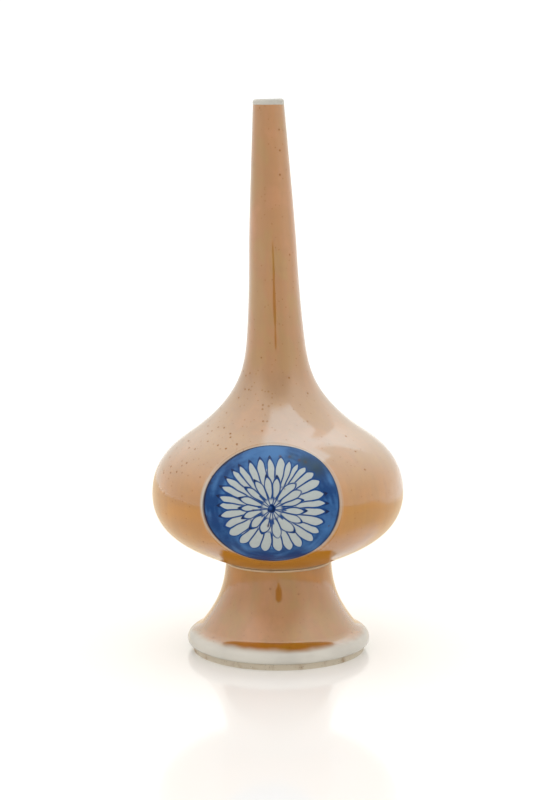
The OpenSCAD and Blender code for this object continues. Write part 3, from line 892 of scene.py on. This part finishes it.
class SPRINKLER_OT_foot_glazes(BuildStep):
    """Lays the white glaze on the bead and the brown glaze on the flare."""

    bl_idname = "sprinkler.foot_glazes"
    bl_label = "Foot glazes"

    def execute(self, context):
        foot, bulb, colours = self.sizes(context)
        bead, upper, flare = foot_curves(foot, bulb.glaze_t)
        change = foot.ring_h + foot.white_band
        places, normals = chain((bead, upper), (14, 60))
        split = int(np.argmin(np.abs(places[:, 1] - change)))
        upper_places, upper_normals = chain((upper, flare), (60, 110))
        start = int(np.argmin(np.abs(upper_places[:, 1] - change)))
        glaze = material("foot_edge_glaze", make_edge_glaze, "foot_edge_glaze", colours,
                         change - 0.0003, change + 0.0014)
        rim = revolve(places[:split + 1], normals[:split + 1], 256)
        coat = revolve(upper_places[start:], upper_normals[start:], 256)
        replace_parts(make_coat("bead_glaze", *rim, bulb.glaze_t, "white_glaze", glaze), "rim_glaze")
        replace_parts(make_coat("flare_glaze", *coat, bulb.glaze_t, "brown_glaze", glaze), "foot_glaze")
        return {"FINISHED"}


class SPRINKLER_OT_waist_slip(BuildStep):
    """Finishes the slip between foot and bulb."""

    bl_idname = "sprinkler.waist_slip"
    bl_label = "Waist slip"

    def execute(self, context):
        foot, bulb, colours = self.sizes(context)
        slip = material("luting_slip", make_slip, colours)
        for name in ("foot_slip", "belly_slip", "neck_slip"):
            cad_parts[name].data.materials.clear()
            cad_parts[name].data.materials.append(slip)
        return {"FINISHED"}


class SPRINKLER_OT_bulb_coat(BuildStep):
    """Lays the brown glaze on the bulb, open at the two panels."""

    bl_idname = "sprinkler.bulb_coat"
    bl_label = "Bulb glaze"

    columns = 240
    rings = 7

    def execute(self, context):
        foot, bulb, colours = self.sizes(context)
        surface = BulbSurface(context.scene)
        panel = context.scene.sprinkler_panel
        places, normals = chain(bulb_curves(foot, bulb), (38, 38, 26))
        heights = places[:, 1]
        rows = len(heights)
        margin = 1.12
        reach = panel.reach
        low_row = int(np.searchsorted(heights, surface.compass(
            np.array([reach * margin]), np.array([-math.pi / 2]), 0)[1][0])) - 1
        high_row = int(np.searchsorted(heights, surface.compass(
            np.array([reach * margin]), np.array([math.pi / 2]), 0)[1][0])) + 1
        half = 2 * math.asin(reach / (2 * bulb.belly_r)) * margin
        step = 2 * math.pi / self.columns
        half_columns = int(math.ceil(half / step))
        angles = np.arange(self.columns) * step
        grid_angle = np.tile(angles, rows)
        grid_z = np.repeat(heights, self.columns)
        faces = []
        windows = []
        for side in (0, 1):
            middle = int(round((-math.pi / 2 - math.radians(panel.turn) + side * math.pi) / step))
            windows.append((middle - half_columns, middle + half_columns))
        hidden = {(i % self.columns, j) for a, b in windows for i in range(a, b) for j in range(low_row, high_row)}
        for j in range(rows - 1):
            for i in range(self.columns):
                if (i, j) not in hidden:
                    k = (i + 1) % self.columns
                    faces.append((j * self.columns + i, j * self.columns + k,
                                  (j + 1) * self.columns + k, (j + 1) * self.columns + i))
        all_angle, all_z = [grid_angle], [grid_z]
        bare = [np.zeros(len(grid_angle))]
        count = len(grid_angle)
        for side, (a, b) in enumerate(windows):
            border = ([(i, low_row) for i in range(a, b)] + [(b, j) for j in range(low_row, high_row)]
                      + [(i, high_row) for i in range(b, a, -1)] + [(a, j) for j in range(high_row, low_row, -1)])
            ids = [j * self.columns + i % self.columns for i, j in border]
            front = -math.pi / 2 - math.radians(panel.turn) + side * math.pi
            across = np.array([i * step for i, j in border]) - front
            across = (across + math.pi) % (2 * math.pi) - math.pi
            up = heights[[j for i, j in border]]
            direction = np.arctan2((up - surface.centre_z) * 1.0, np.sin(across) * bulb.belly_r)
            edge_angle, edge_z = surface.compass(np.full(len(ids), reach), direction, side)
            edge_across = (edge_angle - front + math.pi) % (2 * math.pi) - math.pi
            previous = ids
            for ring in range(1, self.rings + 1):
                t = ring / self.rings
                all_angle.append(front + across * (1 - t) + edge_across * t)
                all_z.append(up * (1 - t) + edge_z * t)
                bare.append(self.margin(surface, all_angle[-1], all_z[-1], front, direction, side))
                current = list(range(count, count + len(ids)))
                count += len(ids)
                for k in range(len(ids)):
                    m = (k + 1) % len(ids)
                    faces.append((previous[k], previous[m], current[m], current[k]))
                previous = current
        angle, z = np.concatenate(all_angle), np.concatenate(all_z)
        used = sorted({v for f in faces for v in f})
        index = {v: i for i, v in enumerate(used)}
        faces = [tuple(index[v] for v in f) for f in faces]
        points, outward = surface.leaned(angle[used], z[used])
        coat = make_coat("bulb_glaze", points, outward, faces, bulb.glaze_t, "brown_glaze",
                         material("coffee_brown_glaze", make_brown, colours), {"bare": np.concatenate(bare)[used]})
        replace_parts(coat, "lower_bowl_glaze", "upper_bowl_glaze")
        return {"FINISHED"}

    @staticmethod
    def margin(surface, angle, z, front, direction, side):
        """How white the glaze still is at places close to a panel."""
        points, _ = surface.at(angle, z)
        belly = surface.bulb.belly_r
        centre = np.array([belly * math.cos(front), belly * math.sin(front), surface.centre_z])
        opening = np.linalg.norm(points - centre, axis=1) / MM
        return 1 - brown_edge(opening, direction, 20 + side)


class SPRINKLER_OT_neck_coat(BuildStep):
    """Lays the brown glaze on the neck and the white glaze on the lip."""

    bl_idname = "sprinkler.neck_coat"
    bl_label = "Neck and lip glazes"

    def execute(self, context):
        foot, bulb, colours = self.sizes(context)
        places, normals = chain(neck_curves(foot, bulb), (50, 60))
        lip_z = neck_foot(foot, bulb) + bulb.neck_h
        band_z = lip_z - bulb.lip_band
        # The 0.82 darkens the lip's white glaze below the bead's: painted shade on the rounded lip
        edge = material("lip_edge_glaze", make_edge_glaze, "lip_edge_glaze", colours,
                        band_z + 0.0003, band_z - 0.0001, 0.82)
        points, outward, faces = revolve(places, normals, 160)
        points, outward = lean(points, outward, foot, bulb)
        neck = make_coat("neck_brown_glaze", points, outward, faces, bulb.glaze_t, "brown_glaze",
                         material("coffee_brown_glaze", make_brown, colours))
        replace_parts(neck, "neck_glaze")
        rounding, inner = bulb.lip_round, bulb.lip_inner_round
        outer_arc = arc((bulb.lip_r - rounding, lip_z - rounding), rounding, 0, 90, 10)
        inner_arc = arc((bulb.mouth_r + inner, lip_z - inner), inner, 90, 180, 8)
        start = places[-1:], normals[-1:]
        lip_places = np.vstack([start[0], outer_arc[0], inner_arc[0]])
        lip_normals = np.vstack([start[1], outer_arc[1], inner_arc[1]])
        points, outward, faces = revolve(lip_places, lip_normals, 160)
        points, outward = lean(points, outward, foot, bulb)
        lip = make_coat("lip_white_glaze", points, outward, faces, bulb.glaze_t * 0.8, "white_glaze", edge)
        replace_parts(lip, "lip_glaze")
        return {"FINISHED"}


class SPRINKLER_OT_front_panel(BuildStep):
    """Paints the flower panel at the front."""

    bl_idname = "sprinkler.front_panel"
    bl_label = "Front flower panel"

    def execute(self, context):
        build_painted_panel(context, 0, ("front_flower_panel", "front_panel", "front_ground", "front_outline"))
        return {"FINISHED"}


class SPRINKLER_OT_back_panel(BuildStep):
    """Paints the flower panel at the back."""

    bl_idname = "sprinkler.back_panel"
    bl_label = "Back flower panel"

    def execute(self, context):
        build_painted_panel(context, 1, ("back_flower_panel", "back_panel", "back_ground", "back_outline"))
        return {"FINISHED"}


class SPRINKLER_OT_inside(BuildStep):
    """Finishes the thrown walls and the white glaze inside."""

    bl_idname = "sprinkler.inside"
    bl_label = "Walls and linings"

    def execute(self, context):
        foot, bulb, colours = self.sizes(context)
        clay = material("worn_bare_clay", make_clay, colours)
        lining = material("white_lining_glaze", make_lining, colours)
        finishes = {"lower_bowl": clay, "upper_bowl": clay, "neck": clay,
                    "foot_lining": lining, "bulb_lining": lining, "neck_lining": lining}
        for name, finish in finishes.items():
            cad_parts[name].data.materials.clear()
            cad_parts[name].data.materials.append(finish)
        return {"FINISHED"}


class SPRINKLER_OT_stage(BuildStep):
    """Sets the floor, the white light tent with its softbox and gaps, and the camera."""

    bl_idname = "sprinkler.stage"
    bl_label = "Floor, light and camera"

    def execute(self, context):
        scene, stage = context.scene, context.scene.sprinkler_stage
        scene.view_settings.view_transform = "Standard"
        add_floor(stage)
        add_card("far_floor", ring_card(0.10, 1.8, 0.0006), stage.far_floor, stage.far_level,
                 (0.11, 0.19, 0.50, 0.26, 0.13, 0.05))
        add_card("near_floor", ring_card(0.032, 1.2, 0.0004), stage.near_floor, stage.near_level,
                 (0.032, 0.062, 1.2, 0.6, 0.55, 0.35), 1.0)
        add_card("shaded_floor", patch_card(-0.028, 0.027, -0.02, 0.10, 0.0008), stage.shaded_floor, 1.0)
        add_card("front_gap", slot_card(0.0, -0.37, 0.040, 0.03, 0.162), stage.gap, 1.0)
        add_tent(scene, stage)
        add_camera(scene, stage)
        return {"FINISHED"}


def add_floor(stage):
    """A large white floor with a soft mirror."""
    mesh = bpy.data.meshes.new("floor")
    far = 30.0
    mesh.from_pydata([(-far, -far, 0), (far, -far, 0), (far, far, 0), (-far, far, 0)], [], [(0, 1, 2, 3)])
    graph = Graph("white_floor")
    mesh.materials.append(graph.finish(Base_Color=stage.floor, Roughness=0.09, IOR=1.45))
    floor = bpy.data.objects.new("floor", mesh)
    bpy.context.scene.collection.objects.link(floor)


def ring_card(inner, outer, z):
    """Points and faces of a flat ring."""
    points, _, faces = revolve(np.array([[outer, z], [inner, z]]), np.array([[0.0, 1.0]] * 2), 96)
    return points, faces


def patch_card(left, right, front, back, z):
    """Points and faces of a flat rectangle."""
    return np.array([(left, front, z), (right, front, z), (right, back, z), (left, back, z)]), [(0, 1, 2, 3)]


def slot_card(x, y, half_width, low, high):
    """Points and faces of an upright card with pointed ends."""
    taper = 0.25 * (high - low)
    points = np.array([(x, y, low), (x - half_width, y, low + taper), (x - half_width, y, high - taper),
                       (x, y, high), (x + half_width, y, high - taper), (x + half_width, y, low + taper)])
    return points, [(0, 1, 2, 3, 4, 5)]


def add_card(name, shape, tint, brightness, fade=None, slant=0.0):
    """A card that only reflections see, from its front; it may fade in, out and behind the pot."""
    points, faces = shape
    mesh = bpy.data.meshes.new(name)
    mesh.from_pydata([tuple(p) for p in points], [], faces)
    finish = bpy.data.materials.new(name)
    finish.use_nodes = True
    tree = finish.node_tree
    tree.nodes.clear()
    glow = tree.nodes.new("ShaderNodeEmission")
    glow.inputs["Color"].default_value = (*tint, 1.0)
    glow.inputs["Strength"].default_value = brightness
    clear = tree.nodes.new("ShaderNodeBsdfTransparent")
    sided = tree.nodes.new("ShaderNodeMixShader")
    geometry = tree.nodes.new("ShaderNodeNewGeometry")
    tree.links.new(geometry.outputs["Backfacing"], sided.inputs[0])
    tree.links.new(glow.outputs[0], sided.inputs[1])
    tree.links.new(clear.outputs[0], sided.inputs[2])
    shown = sided.outputs[0]
    if fade:
        place = tree.nodes.new("ShaderNodeSeparateXYZ")
        tree.links.new(geometry.outputs["Position"], place.inputs[0])
        right = tree.nodes.new("ShaderNodeMath")
        right.operation = "MAXIMUM"
        tree.links.new(place.outputs["X"], right.inputs[0])
        right.inputs[1].default_value = 0.0
        shorter = tree.nodes.new("ShaderNodeMath")
        shorter.operation = "MULTIPLY_ADD"
        tree.links.new(right.outputs[0], shorter.inputs[0])
        shorter.inputs[1].default_value = -0.55
        tree.links.new(place.outputs["X"], shorter.inputs[2])
        joined = tree.nodes.new("ShaderNodeCombineXYZ")
        tree.links.new(shorter.outputs[0], joined.inputs["X"])
        tree.links.new(place.outputs["Y"], joined.inputs["Y"])
        distance = tree.nodes.new("ShaderNodeVectorMath")
        distance.operation = "LENGTH"
        tree.links.new(joined.outputs[0], distance.inputs[0])
        behind = tree.nodes.new("ShaderNodeMath")
        behind.operation = "MULTIPLY_ADD"
        tree.links.new(place.outputs["X"], behind.inputs[0])
        behind.inputs[1].default_value = slant
        tree.links.new(place.outputs["Y"], behind.inputs[2])
        away, behind = distance.outputs["Value"], behind.outputs[0]
        for value, near, far in ((away, *fade[:2]), (away, *fade[2:4]), (behind, *fade[4:])):
            edge = tree.nodes.new("ShaderNodeMapRange")
            edge.interpolation_type = "SMOOTHSTEP"
            edge.inputs["From Min"].default_value = near
            edge.inputs["From Max"].default_value = far
            tree.links.new(value, edge.inputs["Value"])
            faded = tree.nodes.new("ShaderNodeMixShader")
            tree.links.new(edge.outputs["Result"], faded.inputs[0])
            tree.links.new(clear.outputs[0], faded.inputs[1])
            tree.links.new(shown, faded.inputs[2])
            shown = faded.outputs[0]
    tree.links.new(shown, tree.nodes.new("ShaderNodeOutputMaterial").inputs["Surface"])
    mesh.materials.append(finish)
    card = bpy.data.objects.new(name, mesh)
    bpy.context.scene.collection.objects.link(card)
    card.visible_camera = card.visible_diffuse = card.visible_shadow = card.visible_transmission = False


def add_tent(scene, stage):
    """A white tent all round, brightest in a softbox overhead; the camera sees plain white."""
    world = bpy.data.worlds.new("light_tent")
    scene.world = world
    world.use_nodes = True
    tree = world.node_tree
    tree.nodes.clear()

    def node(kind, **settings):
        made = tree.nodes.new(kind)
        for key, value in settings.items():
            setattr(made, key, value)
        return made

    def calc(operation, a, b):
        made = node("ShaderNodeMath", operation=operation)
        for socket, value in zip(made.inputs, (a, b)):
            if isinstance(value, bpy.types.NodeSocket):
                tree.links.new(value, socket)
            else:
                socket.default_value = value
        return made.outputs[0]

    def step(value, low, high):
        made = node("ShaderNodeMapRange", interpolation_type="SMOOTHSTEP")
        tree.links.new(value, made.inputs["Value"])
        made.inputs["From Min"].default_value = low
        made.inputs["From Max"].default_value = high
        return made.outputs["Result"]

    split = node("ShaderNodeSeparateXYZ")
    tree.links.new(node("ShaderNodeTexCoord").outputs["Generated"], split.inputs[0])
    x, y, z = split.outputs
    up = calc("MAXIMUM", z, 0.05)
    across, back = calc("DIVIDE", x, up), calc("DIVIDE", y, up)
    slanted = calc("SUBTRACT", back, calc("MULTIPLY", across, 1.27))
    edge = calc("SUBTRACT", across, calc("MULTIPLY", back, 0.22))
    ahead = calc("MULTIPLY", step(edge, 0.50, 0.43), step(back, 0.37, 0.27))
    bright = calc("MAXIMUM", step(slanted, -0.20, -0.12), ahead)
    bright = calc("MULTIPLY", bright, step(across, -0.22, -0.10))
    bright = calc("MULTIPLY", bright, step(back, -0.45, -0.25))
    bright = calc("MULTIPLY", bright, step(z, 0.38, 0.90))
    sides = calc("ADD", calc("MULTIPLY", x, 0.05), stage.tent)
    above = calc("MULTIPLY", step(z, 0.10, 0.95), stage.top - stage.tent)
    corner = calc("MULTIPLY", step(y, 0.6, 0.95), step(calc("ABSOLUTE", x, 0.0), 0.1, 0.3))
    corner = calc("MULTIPLY", corner, step(z, 0.45, 0.2))
    sides = calc("SUBTRACT", calc("ADD", sides, above), calc("MULTIPLY", corner, 0.18))
    facing = step(calc("SUBTRACT", calc("MULTIPLY", z, 0.3), y), 0.52, 0.96)
    dimmed = calc("MULTIPLY", facing, calc("SUBTRACT", stage.front, sides))
    level = calc("ADD", calc("ADD", sides, dimmed), calc("MULTIPLY", bright, stage.softbox - stage.top))
    soft = calc("ADD", calc("MULTIPLY", calc("SUBTRACT", 1.0, z), stage.low_fill), stage.fill)
    rays = node("ShaderNodeLightPath")
    mirrored = calc("MULTIPLY", calc("SUBTRACT", level, soft), rays.outputs["Is Glossy Ray"])
    strength = calc("ADD", mirrored, soft)
    shade = node("ShaderNodeMix", data_type="RGBA")
    tree.links.new(bright, shade.inputs["Factor"])
    shade.inputs["A"].default_value = (*stage.warm_light, 1.0)
    shade.inputs["B"].default_value = (*stage.cool_light, 1.0)
    lit = node("ShaderNodeMix", data_type="RGBA")
    tree.links.new(rays.outputs["Is Glossy Ray"], lit.inputs["Factor"])
    lit.inputs["A"].default_value = (1.0, 0.985, 0.96, 1.0)
    tree.links.new(shade.outputs["Result"], lit.inputs["B"])
    tent = node("ShaderNodeBackground")
    tree.links.new(lit.outputs["Result"], tent.inputs["Color"])
    tree.links.new(strength, tent.inputs["Strength"])
    plain = node("ShaderNodeBackground")
    plain.inputs["Color"].default_value = (1.0, 1.0, 1.0, 1.0)
    plain.inputs["Strength"].default_value = 1.1
    chosen = node("ShaderNodeMixShader")
    tree.links.new(rays.outputs["Is Camera Ray"], chosen.inputs[0])
    tree.links.new(tent.outputs[0], chosen.inputs[1])
    tree.links.new(plain.outputs[0], chosen.inputs[2])
    tree.links.new(chosen.outputs[0], node("ShaderNodeOutputWorld").inputs["Surface"])


def add_camera(scene, stage):
    """The camera at the photograph's place."""
    data = bpy.data.cameras.new("camera")
    data.sensor_width = 36.0
    data.lens = stage.lens
    camera = bpy.data.objects.new("camera", data)
    camera.location = (-stage.camera_side, -stage.camera_distance, stage.camera_height)
    camera.rotation_euler = (math.radians(90 - stage.camera_pitch), 0, 0)
    scene.collection.objects.link(camera)
    scene.camera = camera


STEPS = (
    SPRINKLER_OT_stage, SPRINKLER_OT_foot, SPRINKLER_OT_foot_glazes, SPRINKLER_OT_waist_slip,
    SPRINKLER_OT_bulb_coat, SPRINKLER_OT_neck_coat, SPRINKLER_OT_front_panel, SPRINKLER_OT_back_panel,
    SPRINKLER_OT_inside,
)


class SPRINKLER_PT_build(bpy.types.Panel):
    """Lists the steps that build the sprinkler."""

    bl_label = "Rosewater Sprinkler"
    bl_idname = "SPRINKLER_PT_build"
    bl_space_type = "VIEW_3D"
    bl_region_type = "UI"
    bl_category = "Sprinkler"

    def draw(self, context):
        for step in STEPS:
            self.layout.operator(step.bl_idname)


SETTINGS = {
    "sprinkler_foot": SprinklerFootSizes,
    "sprinkler_bulb": SprinklerBulbSizes,
    "sprinkler_panel": SprinklerPanelSizes,
    "sprinkler_colours": SprinklerColours,
    "sprinkler_stage": SprinklerStageSettings,
}


def register():
    for group in SETTINGS.values():
        bpy.utils.register_class(group)
    for key, group in SETTINGS.items():
        setattr(bpy.types.Scene, key, PointerProperty(type=group))
    for step in STEPS:
        bpy.utils.register_class(step)
    bpy.utils.register_class(SPRINKLER_PT_build)


def unregister():
    bpy.utils.unregister_class(SPRINKLER_PT_build)
    for step in reversed(STEPS):
        bpy.utils.unregister_class(step)
    for key in SETTINGS:
        delattr(bpy.types.Scene, key)
    for group in SETTINGS.values():
        bpy.utils.unregister_class(group)


def main():
    """Builds every step in order."""
    register()
    for step in STEPS:
        group, name = step.bl_idname.split(".")
        getattr(getattr(bpy.ops, group), name)()


if __name__ == "__main__":
    main()
